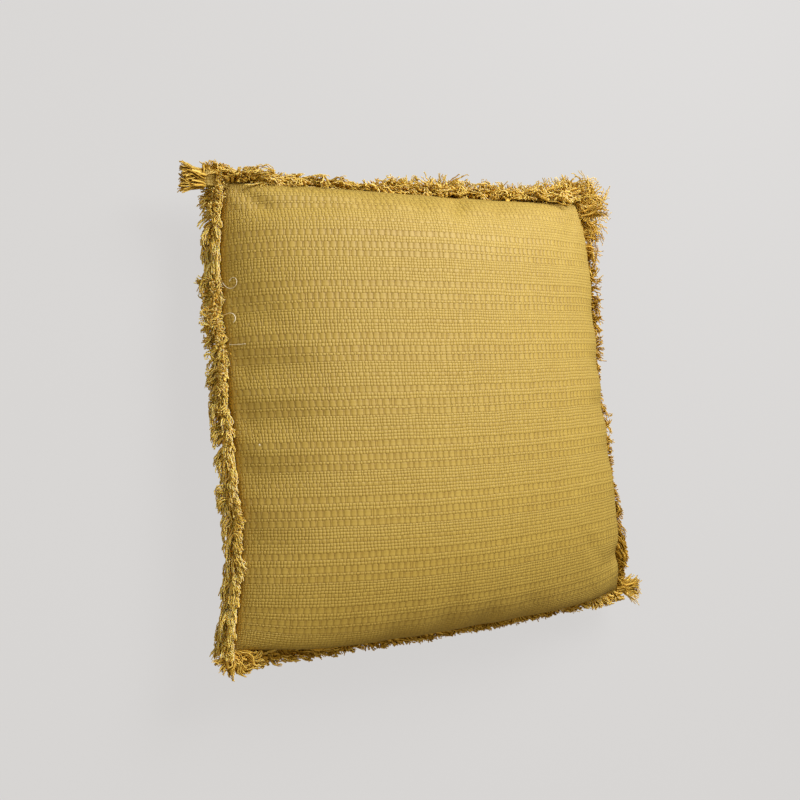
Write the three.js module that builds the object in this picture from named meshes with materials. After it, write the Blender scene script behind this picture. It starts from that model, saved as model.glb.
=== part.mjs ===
// A square scatter cushion of ribbed slub cotton with a frayed fringe on all four sides.
// Millimetres. The cushion lies on its back: +Z comes out of its face, +Y runs to its top edge.
import * as THREE from 'three';

// Driving dimensions
const SEAM_EDGE = 2.4;        // thickness of the two cloths where they are sewn together
const PANEL_CELLS = 40;       // grid cells across a panel
const EDGE_CROWDING = 0.7;    // 0 spaces the grid evenly, 1 crowds it at the seam
const REST_DEPTH = 58;        // the floor lies this far below the middle of the seam
const GAP = 0.3;              // clearance between the cushion and each strip of fringe
const MITRE_GAP = 0.25;       // each strip stops this far short of the line where two strips meet
const STRIP_WIDTH = 3.6;      // unfrayed cloth between the seam and the fringe
const STRIP_THICKNESS = 3.0;
const LOCKS_PER_LAYER = 37;   // locks of the front layer on each side
const LOCK_UNEVENNESS = 0.22; // share of its length by which a lock is longer or shorter
const LOCK_THICKNESS = 6;
const LOCK_STRAY = 0.06;      // radians by which a lock strays from its neighbours' direction
const LOCK_LEAN = 0.6;        // sideways waver along a lock
const LAYER_SPREAD = 0.38;    // slope, in radians, by which the two layers part at their roots
const CORNER_REACH = 42;      // distance from a corner over which the locks fan out
const CORNER_FAN = 0.62;      // radians by which the last lock turns to the corner

// Corners of the seam: x and y in its plane, z out of it.
const corners = {
  topLeft: { x: -212, y: 216, z: -5 },
  topRight: { x: 214, y: 229, z: 1 },
  bottomRight: { x: 236, y: -222, z: -10 },
  bottomLeft: { x: -234, y: -214, z: 6 },
};

// Sides of the seam. drawnIn is how far the middle is pulled in, lift how far it rises to the face,
// sway and roll turn the first half of the side outward and downward, and the second half the other way.
const sides = {
  left: { from: 'bottomLeft', to: 'topLeft', drawnIn: 3, lift: -4, sway: -5, roll: -6 },
  top: { from: 'topLeft', to: 'topRight', drawnIn: 8, lift: 9, sway: 1, roll: 0 },
  right: { from: 'topRight', to: 'bottomRight', drawnIn: 13, lift: 7, sway: 6, roll: 9 },
  bottom: { from: 'bottomRight', to: 'bottomLeft', drawnIn: -7, lift: -2, sway: 0, roll: 1 },
};

// Fringe of each side: its length, the way it points in radians above the seam's plane, and the share
// by which the locks grow towards the side's first and last corner.
const fringes = {
  left: { length: 19.5, slope: 0.1, firstTuft: 0.2, lastTuft: 1.5 },
  top: { length: 18, slope: 0, firstTuft: 0.4, lastTuft: 1.2 },
  right: { length: 26, slope: 0, firstTuft: 0.6, lastTuft: 0.25 },
  bottom: { length: 22, slope: -0.8, firstTuft: 0.3, lastTuft: 0.1 },
};

// How each panel swells. A low number at a side makes the panel rise more steeply from the seam there.
// toTop and toEnds are the shares by which it is fuller at its top, and at its top and bottom alike.
// belly is how far the filling pushes out over the bottom seam.
const swell = {
  face: { height: 70, left: 0.53, right: 0.5, top: 0.37, bottom: 0.3, toTop: 0.13, toEnds: 0.3, belly: 10 },
  back: { height: 64, left: 0.5, right: 0.5, top: 0.4, bottom: 0.34, toTop: 0, toEnds: 0.16, belly: 7 },
};
const BELLY_REACH = 0.05;     // how far up the panel the belly lies, as a share of half its height

// Soft troughs of the face, placed from its middle. turn is the angle of the trough to X, in degrees.
const creases = [
  { name: 'below the top left corner', x: -158, y: 188, length: 62, width: 9, depth: 3.4, turn: 2 },
  { name: 'pucker at the top seam', x: 18, y: 203, length: 22, width: 8, depth: 2.6, turn: 48 },
  { name: 'into the top right corner', x: 178, y: 196, length: 34, width: 10, depth: 3.0, turn: 42 },
  { name: 'into the bottom left corner', x: -196, y: -180, length: 30, width: 11, depth: 3.2, turn: 44 },
  { name: 'into the bottom right corner', x: 200, y: -186, length: 32, width: 11, depth: 3.0, turn: -43 },
];

// Ripples where the seam gathers the cloth.
const gathers = { depth: 1.5, wave: 64, reach: 0.16 };

// Places where the fringe leaves its usual slope: at and span are shares of the side, front and back
// the radians by which each layer is turned, up and over the face or, below zero, down behind the seam.
const turns = [
  { side: 'top', at: 0.42, span: 0.05, front: 0.5, back: 0.1 },
  { side: 'top', at: 0.57, span: 0.04, front: 0.45, back: 0 },
  { side: 'top', at: 0.8, span: 0.06, front: 0.3, back: 0.1 },
  { side: 'left', at: 0.22, span: 0.13, front: 0.7, back: 0.2 },
  { side: 'left', at: 0.39, span: 0.05, front: 0.3, back: 0 },
  { side: 'left', at: 0.62, span: 0.05, front: 0.5, back: 0 },
  { side: 'left', at: 0.8, span: 0.05, front: 0.45, back: 0 },
  { side: 'right', at: 0.2, span: 0.08, front: 0.3, back: 0.1 },
  { side: 'right', at: 0.58, span: 0.12, front: -0.5, back: -0.4 },
  { side: 'right', at: 0.87, span: 0.07, front: 0.25, back: 0 },
];

// A lock at its rings, root first and tip last. share is its run up to the ring as a share of its length,
// fan how much of its turn to the corner it has taken, curl its bend towards the other layer in radians,
// width and thick its size as shares of the room it has at the root and of LOCK_THICKNESS, lean its waver.
const lockStations = [
  { share: 0.3, fan: 0.3, curl: 0, width: 0.7, thick: 1, lean: 1 },
  { share: 0.42, fan: 1, curl: 0.15, width: 0.62, thick: 0.92, lean: -1 },
  { share: 0.28, fan: 1.1, curl: 0.4, width: 0, thick: 0, lean: 0.7 },
];

const cloth = new THREE.MeshStandardMaterial({ name: 'slub cotton cloth', color: '#c6a252', roughness: 0.9 });
const yarn = new THREE.MeshStandardMaterial({ name: 'frayed cotton yarn', color: '#b8923f', roughness: 0.9 });

const UP = new THREE.Vector3(0, 0, 1);

function unevenness(number) {
  const value = Math.sin(number * 12.9898 + 4.1414) * 43758.5453;
  return 2 * (value - Math.floor(value)) - 1;
}

function cornerPoint(name) {
  const { x, y, z } = corners[name];
  return new THREE.Vector3(x, y, z);
}

// The sides run clockwise, so the outside lies to the left of each one.
function outward(along) {
  return UP.clone().cross(along).normalize();
}

function seamPoint(sideName, along) {
  const side = sides[sideName];
  const start = cornerPoint(side.from);
  const end = cornerPoint(side.to);
  const across = 2 * along - 1;
  const bow = 1 - across * across;
  const turn = -2.6 * across * bow;
  const out = outward(end.clone().sub(start));
  return start.lerp(end, along)
    .addScaledVector(out, side.sway * turn - side.drawnIn * bow)
    .addScaledVector(UP, side.lift * bow - side.roll * turn);
}

// Soft blend of the four seams. s runs from -1 at the left to 1 at the right, t from the bottom to the top.
function seamPlanePoint(s, t) {
  const right = (s + 1) / 2;
  const high = (t + 1) / 2;
  const point = seamPoint('left', high).multiplyScalar(1 - right);
  point.addScaledVector(seamPoint('right', 1 - high), right);
  point.addScaledVector(seamPoint('bottom', 1 - right), 1 - high);
  point.addScaledVector(seamPoint('top', right), high);
  point.addScaledVector(cornerPoint('bottomLeft'), -(1 - right) * (1 - high));
  point.addScaledVector(cornerPoint('bottomRight'), -right * (1 - high));
  point.addScaledVector(cornerPoint('topLeft'), -(1 - right) * high);
  point.addScaledVector(cornerPoint('topRight'), -right * high);
  return point;
}

function crown(s, t, panel) {
  const acrossShape = (1 - s * s) ** (s < 0 ? panel.left : panel.right);
  const upShape = (1 - t * t) ** (t < 0 ? panel.bottom : panel.top);
  return panel.height * acrossShape * upShape * (1 + panel.toTop * t + panel.toEnds * t * t);
}

// How far the belly stands out over the bottom seam: nothing at the seam, most a little above it.
function bellyReach(s, t, panel) {
  const share = (1 + t) / BELLY_REACH;
  return panel.belly * share * Math.exp(1 - share) * (1 - s ** 8) ** 2;
}

function creaseDepth(x, y) {
  let depth = 0;
  for (const crease of creases) {
    const angle = THREE.MathUtils.degToRad(crease.turn);
    const dx = x - crease.x;
    const dy = y - crease.y;
    const along = (dx * Math.cos(angle) + dy * Math.sin(angle)) / crease.length;
    const across = (dy * Math.cos(angle) - dx * Math.sin(angle)) / crease.width;
    depth += crease.depth * Math.exp(-along * along - across * across);
  }
  return depth;
}

function gatherDepth(s, t, x, y) {
  const nearSide = Math.exp(-(((1 - Math.abs(s)) / gathers.reach) ** 2)) * (1 - t * t);
  const nearEnd = Math.exp(-(((1 - Math.abs(t)) / gathers.reach) ** 2)) * (1 - s * s);
  const edge = (1 - s * s) * (1 - t * t);
  const fade = Math.min(1, edge * 12);
  const ripple = (place) => Math.sin((2 * Math.PI * place) / gathers.wave + 1.7 * Math.sin(place / 53));
  return gathers.depth * fade * (nearSide * ripple(y) + nearEnd * ripple(x + 20));
}

function facePoint(s, t) {
  const point = seamPlanePoint(s, t);
  const swelling = crown(s, t, swell.face);
  const folds = creaseDepth(point.x, point.y) * Math.min(1, swelling / 12);
  point.z += SEAM_EDGE / 2 + swelling - folds + gatherDepth(s, t, point.x, point.y);
  point.y -= bellyReach(s, t, swell.face);
  return point;
}

// The back panel is pressed flat where it rests.
function backPoint(s, t) {
  const point = seamPlanePoint(s, t);
  const swelling = crown(s, t, swell.back);
  point.z -= SEAM_EDGE / 2 + swelling + gatherDepth(t, s, point.y + 30, point.x);
  point.y -= bellyReach(s, t, swell.back);
  point.z = Math.max(point.z, -REST_DEPTH);
  return point;
}

function gridPlace(index) {
  const even = (2 * index) / PANEL_CELLS - 1;
  return (1 - EDGE_CROWDING) * even + EDGE_CROWDING * Math.sin((Math.PI / 2) * even);
}

// Points and triangles of one closed shell while it is being made.
function emptyShell() {
  const points = [];
  const triangles = [];
  return {
    points,
    triangles,
    add: (point) => points.push(point) - 1,
    quad: (a, b, c, d) => triangles.push([a, b, c], [a, c, d]),
  };
}

function meshFrom(name, shell, material) {
  const geometry = new THREE.BufferGeometry().setFromPoints(shell.points);
  geometry.setIndex(shell.triangles.flat());
  geometry.computeVertexNormals();
  const mesh = new THREE.Mesh(geometry, material);
  mesh.name = name;
  return mesh;
}

function makeCushion() {
  const shell = emptyShell();
  const width = PANEL_CELLS + 1;
  for (const panelPoint of [facePoint, backPoint]) {
    for (let row = 0; row < width; row++) {
      for (let column = 0; column < width; column++) {
        shell.add(panelPoint(gridPlace(column), gridPlace(row)));
      }
    }
  }
  const face = (column, row) => row * width + column;
  const back = (column, row) => width * width + face(column, row);
  for (let row = 0; row < PANEL_CELLS; row++) {
    for (let column = 0; column < PANEL_CELLS; column++) {
      // Each quarter's diagonals run out to its corner, as the pull of the cloth does.
      const outToCorner = (column < PANEL_CELLS / 2) === (row < PANEL_CELLS / 2);
      const cell = [[column, row], [column + 1, row], [column + 1, row + 1], [column, row + 1]];
      if (!outToCorner) cell.push(cell.shift());
      shell.quad(...cell.map((place) => face(...place)));
      const [first, ...others] = cell.map((place) => back(...place));
      shell.quad(first, ...others.reverse());
    }
  }
  const rim = [];
  for (let i = 0; i < PANEL_CELLS; i++) rim.push([i, 0]);
  for (let i = 0; i < PANEL_CELLS; i++) rim.push([PANEL_CELLS, i]);
  for (let i = PANEL_CELLS; i > 0; i--) rim.push([i, PANEL_CELLS]);
  for (let i = PANEL_CELLS; i > 0; i--) rim.push([0, i]);
  rim.forEach((place, i) => {
    const next = rim[(i + 1) % rim.length];
    shell.quad(back(...place), back(...next), face(...next), face(...place));
  });
  return meshFrom('cushion', shell, cloth);
}

function seamRun(sideName, along) {
  const step = 1e-3;
  const before = seamPoint(sideName, Math.max(0, along - step));
  return seamPoint(sideName, Math.min(1, along + step)).sub(before).setZ(0).normalize();
}

// The level way out from the seam. At a corner it is the mitre of the two sides that meet there.
function wayOut(sideName, along) {
  const own = outward(seamRun(sideName, along));
  if (along > 0 && along < 1) return own;
  const names = Object.keys(sides);
  const neighbour = names[(names.indexOf(sideName) + (along === 0 ? 3 : 1)) % names.length];
  const other = outward(seamRun(neighbour, 1 - along));
  return own.clone().add(other).divideScalar(1 + own.dot(other));
}

// The way the fringe points, for the front layer (1), the back layer (-1) or the middle of both (0).
function fringeSlope(sideName, along, layer) {
  let slope = fringes[sideName].slope + layer * LAYER_SPREAD;
  const frontShare = (1 + layer) / 2;
  for (const turn of turns) {
    if (turn.side !== sideName) continue;
    const turned = turn.front * frontShare + turn.back * (1 - frontShare);
    slope += turned * Math.exp(-(((along - turn.at) / turn.span) ** 2));
  }
  return slope;
}

// A point of a strip. Its inner wall, at width 0, stands along the seam. Its outer wall leans with the fringe.
function stripPoint(sideName, along, width, up) {
  const slope = width > 0 ? fringeSlope(sideName, along, 0) : 0;
  const out = GAP + width * Math.cos(slope) - up * Math.sin(slope);
  const rise = width * Math.sin(slope) + up * Math.cos(slope);
  const point = seamPoint(sideName, along);
  point.addScaledVector(wayOut(sideName, along), out).addScaledVector(UP, rise);
  if (along === 0) point.addScaledVector(seamRun(sideName, along), MITRE_GAP);
  if (along === 1) point.addScaledVector(seamRun(sideName, along), -MITRE_GAP);
  return point;
}

// The middle line and the size of a lock at its rings, from just past its root to its tip.
function lockRings(sideName, along, sideLength, layer, seed) {
  const level = seamRun(sideName, along);
  const out = outward(level);
  const nearStart = Math.max(0, 1 - (along * sideLength) / CORNER_REACH);
  const nearEnd = Math.max(0, 1 - ((1 - along) * sideLength) / CORNER_REACH);
  const fan = CORNER_FAN * (nearEnd ** 1.3 - nearStart ** 1.3) + LOCK_STRAY * unevenness(seed);
  const fringe = fringes[sideName];
  const tuft = fringe.firstTuft * nearStart + fringe.lastTuft * nearEnd;
  const length = fringe.length * (1 + tuft + LOCK_UNEVENNESS * unevenness(seed + 0.31));
  const slope = fringeSlope(sideName, along, layer) + LOCK_STRAY * unevenness(seed + 0.73);
  const lean = LOCK_LEAN * unevenness(seed + 0.57);
  const middle = stripPoint(sideName, along, STRIP_WIDTH, (layer * STRIP_THICKNESS) / 6);
  return lockStations.map((station) => {
    const swing = fan * station.fan;
    const rise = slope - layer * station.curl;
    const heading = out.clone().multiplyScalar(Math.cos(swing)).addScaledVector(level, Math.sin(swing));
    const sideways = level.clone().multiplyScalar(Math.cos(swing)).addScaledVector(out, -Math.sin(swing));
    const across = heading.clone().multiplyScalar(-Math.sin(rise)).addScaledVector(UP, Math.cos(rise));
    middle.addScaledVector(heading, station.share * length * Math.cos(rise));
    middle.addScaledVector(UP, station.share * length * Math.sin(rise));
    middle.addScaledVector(sideways, lean * station.lean);
    return { middle: middle.clone(), sideways, across, width: station.width, thick: station.thick };
  });
}

// A lock of three sides grows out of three corners of the strip's outer wall.
function addLock(shell, root, rings, layer, room) {
  let ring = root;
  for (const { middle, sideways, across, width, thick } of rings) {
    if (width === 0) {
      const tip = shell.add(middle);
      ring.forEach((corner, k) => shell.triangles.push([corner, ring[(k + 1) % 3], tip]));
      return;
    }
    const corners = [[-1, 1], [1, 1], [0, -1]];
    if (layer < 0) corners.push(corners.splice(1, 1)[0]);
    const next = corners.map(([side, up]) => shell.add(middle.clone()
      .addScaledVector(sideways, (side * width * room) / 2)
      .addScaledVector(across, (up * layer * thick * LOCK_THICKNESS) / 2)));
    ring.forEach((corner, k) => {
      const after = (k + 1) % 3;
      shell.quad(corner, ring[after], next[after], next[k]);
    });
    ring = next;
  }
}

function makeFringe(sideName, sideNumber) {
  const shell = emptyShell();
  const sideLength = seamPoint(sideName, 0).distanceTo(seamPoint(sideName, 1));
  const half = STRIP_THICKNESS / 2;
  const high = [];
  const low = [0];
  for (let i = 0; i <= LOCKS_PER_LAYER; i++) high.push(i / LOCKS_PER_LAYER);
  for (let i = 0; i < LOCKS_PER_LAYER; i++) low.push((i + 0.5) / LOCKS_PER_LAYER);
  low.push(1);
  const line = (places, width, up) => places.map((at) => shell.add(stripPoint(sideName, at, width, up)));
  const outerHigh = line(high, STRIP_WIDTH, half);
  const outerLow = line(low, STRIP_WIDTH, -half);
  const innerHigh = line(high, 0, half);
  const innerLow = line(low, 0, -half);
  const lastHigh = high.length - 1;
  const lastLow = low.length - 1;

  // Top and bottom of the strip.
  for (let i = 0; i < lastHigh; i++) {
    shell.quad(innerHigh[i], innerHigh[i + 1], outerHigh[i + 1], outerHigh[i]);
  }
  for (let i = 0; i < lastLow; i++) {
    shell.quad(innerLow[i], outerLow[i], outerLow[i + 1], innerLow[i + 1]);
  }
  // Inner wall.
  for (let i = 0; i <= lastHigh; i++) shell.triangles.push([innerHigh[i], innerLow[i], innerLow[i + 1]]);
  for (let i = 0; i < lastHigh; i++) shell.triangles.push([innerHigh[i], innerLow[i + 1], innerHigh[i + 1]]);
  // The two mitred ends.
  shell.quad(innerHigh[0], outerHigh[0], outerLow[0], innerLow[0]);
  shell.quad(innerHigh[lastHigh], innerLow[lastLow], outerLow[lastLow], outerHigh[lastHigh]);
  // Outer wall: a zigzag of triangles, each the root of one lock, the front layer's above the back layer's.
  shell.triangles.push([outerHigh[0], outerLow[1], outerLow[0]]);
  shell.triangles.push([outerHigh[lastHigh], outerLow[lastLow], outerLow[lastLow - 1]]);
  const addLayerLock = (root, along, layer, seed) => {
    const rings = lockRings(sideName, along, sideLength, layer, seed);
    addLock(shell, root, rings, layer, sideLength / LOCKS_PER_LAYER);
  };
  for (let i = 0; i < LOCKS_PER_LAYER; i++) {
    const seed = sideNumber * 100 + i;
    addLayerLock([outerHigh[i], outerHigh[i + 1], outerLow[i + 1]], low[i + 1], 1, seed);
    if (i > 0) addLayerLock([outerLow[i], outerHigh[i], outerLow[i + 1]], high[i], -1, seed + 50.5);
  }
  return meshFrom(`fringe_${sideName}`, shell, yarn);
}

const fringedCushion = new THREE.Group();
fringedCushion.name = 'fringed cushion';
fringedCushion.add(makeCushion());
Object.keys(sides).forEach((sideName, number) => fringedCushion.add(makeFringe(sideName, number)));

// The origin lies on the floor, in the middle of the whole outline.
const outline = new THREE.Box3().setFromObject(fringedCushion);
const middle = outline.getCenter(new THREE.Vector3());
fringedCushion.position.set(-middle.x, -middle.y, -outline.min.z);

export default fringedCushion;
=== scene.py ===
import math
from collections import namedtuple

import bmesh
import bpy
import numpy as np
from mathutils import Matrix, Vector


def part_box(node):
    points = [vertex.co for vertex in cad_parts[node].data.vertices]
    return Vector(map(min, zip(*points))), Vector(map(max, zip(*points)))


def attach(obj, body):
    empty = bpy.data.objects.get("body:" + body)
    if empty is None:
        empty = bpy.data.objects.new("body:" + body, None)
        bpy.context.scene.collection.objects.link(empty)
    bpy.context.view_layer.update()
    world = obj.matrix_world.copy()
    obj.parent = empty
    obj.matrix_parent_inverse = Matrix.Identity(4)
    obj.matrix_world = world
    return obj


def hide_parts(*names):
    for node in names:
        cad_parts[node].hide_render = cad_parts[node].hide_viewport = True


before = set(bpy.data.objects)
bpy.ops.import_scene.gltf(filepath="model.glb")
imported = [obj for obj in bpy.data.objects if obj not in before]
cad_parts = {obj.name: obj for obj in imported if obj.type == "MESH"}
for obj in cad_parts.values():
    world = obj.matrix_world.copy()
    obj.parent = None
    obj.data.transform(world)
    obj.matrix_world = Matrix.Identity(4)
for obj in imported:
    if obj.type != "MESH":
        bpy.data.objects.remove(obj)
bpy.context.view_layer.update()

MM = 0.001
UP = np.array([0.0, 0.0, 1.0])

# Driving dimensions of the filled cover, the same as its solid's
SEAM_EDGE = 2.4        # thickness of the two cloths where they are sewn together
REST_DEPTH = 58        # the floor lies this far below the middle of the seam
GAP = 0.3              # clearance between the cushion and each strip of fringe
STRIP_WIDTH = 3.6      # unfrayed cloth between the seam and the fringe
STRIP_CLOTH = 0.9      # thickness of one of its two cloths
LOCKS_PER_LAYER = 37   # locks of the front layer on each side
LAYER_SPREAD = 0.38    # slope, in radians, by which the two layers part at their roots

CORNERS = {
    "top_left": np.array([-212.0, 216.0, -5.0]),
    "top_right": np.array([214.0, 229.0, 1.0]),
    "bottom_right": np.array([236.0, -222.0, -10.0]),
    "bottom_left": np.array([-234.0, -214.0, 6.0]),
}

# Sides of the seam. drawn_in is how far the middle is pulled in, lift how far it rises to the face,
# sway and roll turn the first half of the side outward and downward, and the second half the other way.
Side = namedtuple("Side", "start end drawn_in lift sway roll")
SIDES = {
    "left": Side("bottom_left", "top_left", 3, -4, -5, -6),
    "top": Side("top_left", "top_right", 8, 9, 1, 0),
    "right": Side("top_right", "bottom_right", 13, 7, 6, 9),
    "bottom": Side("bottom_right", "bottom_left", -7, -2, 0, 1),
}

# How each panel swells. A low number at a side makes it rise more steeply from the seam there.
Swell = namedtuple("Swell", "height left right top bottom to_top to_ends belly flank")
FACE_SWELL = Swell(70, 0.53, 0.43, 0.37, 0.3, 0.13, 0.3, 10, 8)
BACK_SWELL = Swell(64, 0.5, 0.5, 0.4, 0.34, 0, 0.16, 7, 0)
BELLY_REACH = 0.05

# Soft troughs of the face, placed from its middle. turn is the angle of the trough to X, in degrees.
Crease = namedtuple("Crease", "name x y length width depth turn")
CREASES = (
    Crease("below the top left corner", -158, 188, 62, 9, 3.4, 2),
    Crease("pucker at the top seam", 18, 203, 22, 8, 2.6, 48),
    Crease("into the top left corner", -192, 198, 20, 8, 4, -45),
    Crease("into the top right corner", 190, 206, 24, 9, 1.5, 42),
    Crease("into the bottom left corner", -200, -184, 24, 10, 2, 44),
    Crease("tuck above the bottom right corner", 216, -178, 24, 12, 6.5, 10),
)
GATHER_DEPTH = 1.5
GATHER_WAVE = 64
GATHER_REACH = 0.16

# Weave: the heights of the weft rows of one repeat, from its top down, and what kind of yarn each row has
Row = namedtuple("Row", "height kind")
REPEAT = (
    Row(5.9, "tall"), Row(3.3, "plain"), Row(3.0, "plain"), Row(6.3, "tall"), Row(2.5, "plain"),
    Row(5.9, "tall"), Row(2.1, "plain"), Row(2.7, "plain"), Row(2.9, "plain"), Row(2.8, "plain"),
    Row(3.8, "medium"), Row(3.0, "plain"), Row(2.9, "plain"), Row(3.2, "plain"),
)
FIRST_REPEAT = -15.0   # the first repeat starts this far down from the top seam
CELLS = 77             # floats of the weft across a panel
Relief = namedtuple("Relief", "lines rise gap")  # mesh lines in a row, its rise in mm, what is left of it at a gap
RELIEFS = {
    "tall": Relief(3, 0.7, 0.5),
    "medium": Relief(2, 0.55, 0.5),
    "plain": Relief(2, 0.35, 0.4),
}
FLOAT_DRIFT = 0.4      # share of a cell by which the floats' slits wander from row to row
SLIT_PAINTED_SHADE = 0.13      # painted shade: how much darker the slits between thick floats are drawn
# and the painted shade in the slits between the floats of plain rows
PLAIN_SLIT_PAINTED_SHADE = 0.12
LINE_PAINTED_SHADE = 0.08      # and the painted shade in the lines between rows
CORNER_PAINTED_SHADE = 0.2     # and, besides, more painted shade where both meet
WARP_SHADE = 0.03      # how much darker the warp is drawn
# The cover is blown up as cloth, from a coarse shell of it that is held at the seam and where it rests
FILL_CELLS = 56
FILL_START = 0.935     # share of the crown that the shell has before it swells
FILL_PRESSURE = 4
FILL_FRAMES = 20
FILL_EASE = 0.01       # share by which the cloth is longer than its way, which makes it pucker
FILL_CAP = 9           # millimetres that no point moves past

WEAVE_BUMP = 0.45     # millimetres by which the floats are rounded beside their modelled relief
CELL_PITCH = 6.2       # width of a float
PLAIN_ROW = 6          # a plain row of the repeat, and the height of such rows
PLAIN_HEIGHT = 2.7
MAP_ROWS = 160         # rows on the weave's map, more than a panel has
CELL_DRIFT = 0.13      # share of a cell by which a warp yarn drifts sideways
ROW_DRIFT = 0.5        # millimetres by which a weft yarn drifts up and down
SEAM_FADE = 0.02       # share of half the panel over which the relief dies out at the seam

# The fringe of each side as handling has combed it, from the side's first corner to its last. at is a share of
# the side. Each layer stands out from the unfrayed edge by its reach, in mm, and turns to the side's last
# corner by its swing. curl is how much its wisps wander, and roll how far the front layer bends over to the
# face. The last four are in radians.
Lay = namedtuple("Lay", "at front_reach front_swing back_reach back_swing curl roll")
LAYS = {
    "left": (
        Lay(0, 15, -0.5, 18, -0.5, 0.2, 1.3), Lay(0.05, 11, -0.9, 14, -1, 0.2, 1.3),
        Lay(0.12, 8, -1, 11, -1.15, 0.25, 1.3), Lay(0.17, 11, -0.7, 12, -1.15, 0.2, 1.3),
        Lay(0.25, 12, -0.6, 11, -1.15, 0.25, 1.3), Lay(0.33, 14, -0.5, 15, -1, 0.4, 1.3),
        Lay(0.385, 8, -1.1, 11, -1.15, 0.25, 1.3), Lay(0.44, 12, -0.8, 16, -0.9, 0.35, 1.3),
        Lay(0.5, 12, -0.8, 14, -1, 0.35, 1.3), Lay(0.6, 13, -0.6, 15, -0.8, 0.4, 1.3),
        Lay(0.68, 14, -0.1, 18, -0.3, 0.6, 1.3), Lay(0.76, 15, 0.1, 21, -0.5, 0.6, 1.3),
        Lay(0.83, 8, -1.15, 11, -1.15, 0.12, 1.3), Lay(0.88, 8, -1.1, 13, -1.1, 0.15, 1.3),
        Lay(0.93, 12, -0.6, 19, -0.7, 0.4, 1.3), Lay(0.965, 15, -0.3, 19, -0.3, 0.4, 1.3),
        Lay(1, 18, -0.1, 20, -0.2, 0.35, 1.3),
    ),
    "top": (
        Lay(0, 24, -0.6, 15, -0.8, 0.39, 1.2), Lay(0.03, 19, 0.3, 14, 0.3, 0.45, 1.6),
        Lay(0.06, 26, 0.7, 15, 0.9, 0.52, 1.9), Lay(0.12, 22, 0.8, 11, 0.9, 0.59, 2.1),
        Lay(0.15, 27, 0.5, 11, 1, 0.65, 2.1), Lay(0.19, 22, 0.8, 9, 1, 0.52, 2.1),
        Lay(0.26, 21, 0.8, 8, 1.1, 0.45, 2), Lay(0.31, 19, 0.7, 9, 0.6, 0.52, 2),
        Lay(0.355, 42, 0.1, 17, 0.2, 0.7, 2.3), Lay(0.39, 27, -0.3, 20, 0.1, 0.65, 2),
        Lay(0.43, 23, 0.4, 20, 0.4, 0.52, 1.9), Lay(0.5, 32, 0.5, 27, 0.4, 0.59, 1.8),
        Lay(0.55, 38, -0.1, 25, -0.2, 0.65, 1.7), Lay(0.62, 26, -0.5, 25, -0.4, 0.52, 1.6),
        Lay(0.68, 23, 0.1, 22, -0.2, 0.65, 1.8), Lay(0.72, 34, -0.3, 25, -0.2, 0.59, 1.9),
        Lay(0.79, 24, -0.6, 20, -0.5, 0.52, 1.6), Lay(0.83, 32, 0.9, 21, 0.8, 0.52, 1.9),
        Lay(0.9, 36, 0.7, 29, 0.5, 0.65, 1.6), Lay(0.96, 34, 0.4, 33, 0.2, 0.7, 0.9),
        Lay(1, 30, 0.2, 34, 0.1, 0.65, 0.4),
    ),
    "right": (
        Lay(0, 38, -0.4, 38, -0.3, 0.5, 0.5), Lay(0.05, 41, 0.1, 41, 0.2, 0.55, 0.5),
        Lay(0.1, 34, 0.3, 34, 0.2, 0.6, 0.5), Lay(0.155, 26, 0.1, 26, 0.1, 0.55, 0.5),
        Lay(0.165, 21, -0.1, 21, -0.1, 0.5, 0.5), Lay(0.185, 30, 0.1, 30, 0, 0.5, 0.5),
        Lay(0.215, 24, 0.2, 24, 0.1, 0.5, 0.5), Lay(0.25, 29, 0, 29, 0.1, 0.5, 0.5),
        Lay(0.287, 15, 0.2, 15, 0.2, 0.4, 0.5), Lay(0.305, 27, -0.1, 27, 0, 0.45, 0.5),
        Lay(0.335, 17, 0.3, 17, 0.2, 0.5, 0.5), Lay(0.35, 24, 0, 24, 0, 0.4, 0.5),
        Lay(0.363, 13, -0.1, 13, -0.1, 0.4, 0.5), Lay(0.385, 28, 0.1, 28, 0.1, 0.4, 0.5),
        Lay(0.41, 19, 0.3, 19, 0.2, 0.5, 0.5), Lay(0.44, 14, 0.1, 14, 0.1, 0.4, 0.5),
        Lay(0.51, 16, 0.4, 16, 0.3, 0.4, 0.5), Lay(0.57, 27, 0.4, 27, 0.3, 0.45, 0.5),
        Lay(0.62, 19, 0.4, 19, 0.4, 0.4, 0.5), Lay(0.7, 14, 0.3, 14, 0.3, 0.4, 0.5),
        Lay(0.74, 17, 0.2, 17, 0.2, 0.4, 0.5), Lay(0.8, 18, 0.4, 18, 0.4, 0.35, 0.5),
        Lay(0.86, 17, 0.85, 17, 0.8, 0.08, 0.5), Lay(0.92, 14, 0.85, 14, 0.75, 0.1, 0.5),
        Lay(0.96, 13, 0.3, 13, 0.4, 0.5, 0.5), Lay(1, 17, 0.2, 17, 0.1, 0.4, 0.5),
    ),
    "bottom": (
        Lay(0, 11, -1, 11, -0.9, 0.3, 0.6), Lay(0.05, 15, -0.6, 15, -0.6, 0.3, 0.6),
        Lay(0.15, 12, -0.7, 12, -0.6, 0.4, 0.6), Lay(0.4, 12, -0.6, 12, -0.6, 0.35, 0.6),
        Lay(0.6, 12, -0.6, 12, -0.6, 0.35, 0.6), Lay(0.78, 11, -0.8, 11, -0.8, 0.45, 0.6),
        Lay(0.9, 14, -0.8, 14, -0.8, 0.5, 0.6), Lay(1, 17, -0.6, 17, -0.6, 0.35, 0.6),
    ),
}

# How steeply each side's fringe rises from the seam's plane, in radians
SLOPES = {"left": 0.1, "top": 0.4, "right": 0, "bottom": -0.4}

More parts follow.
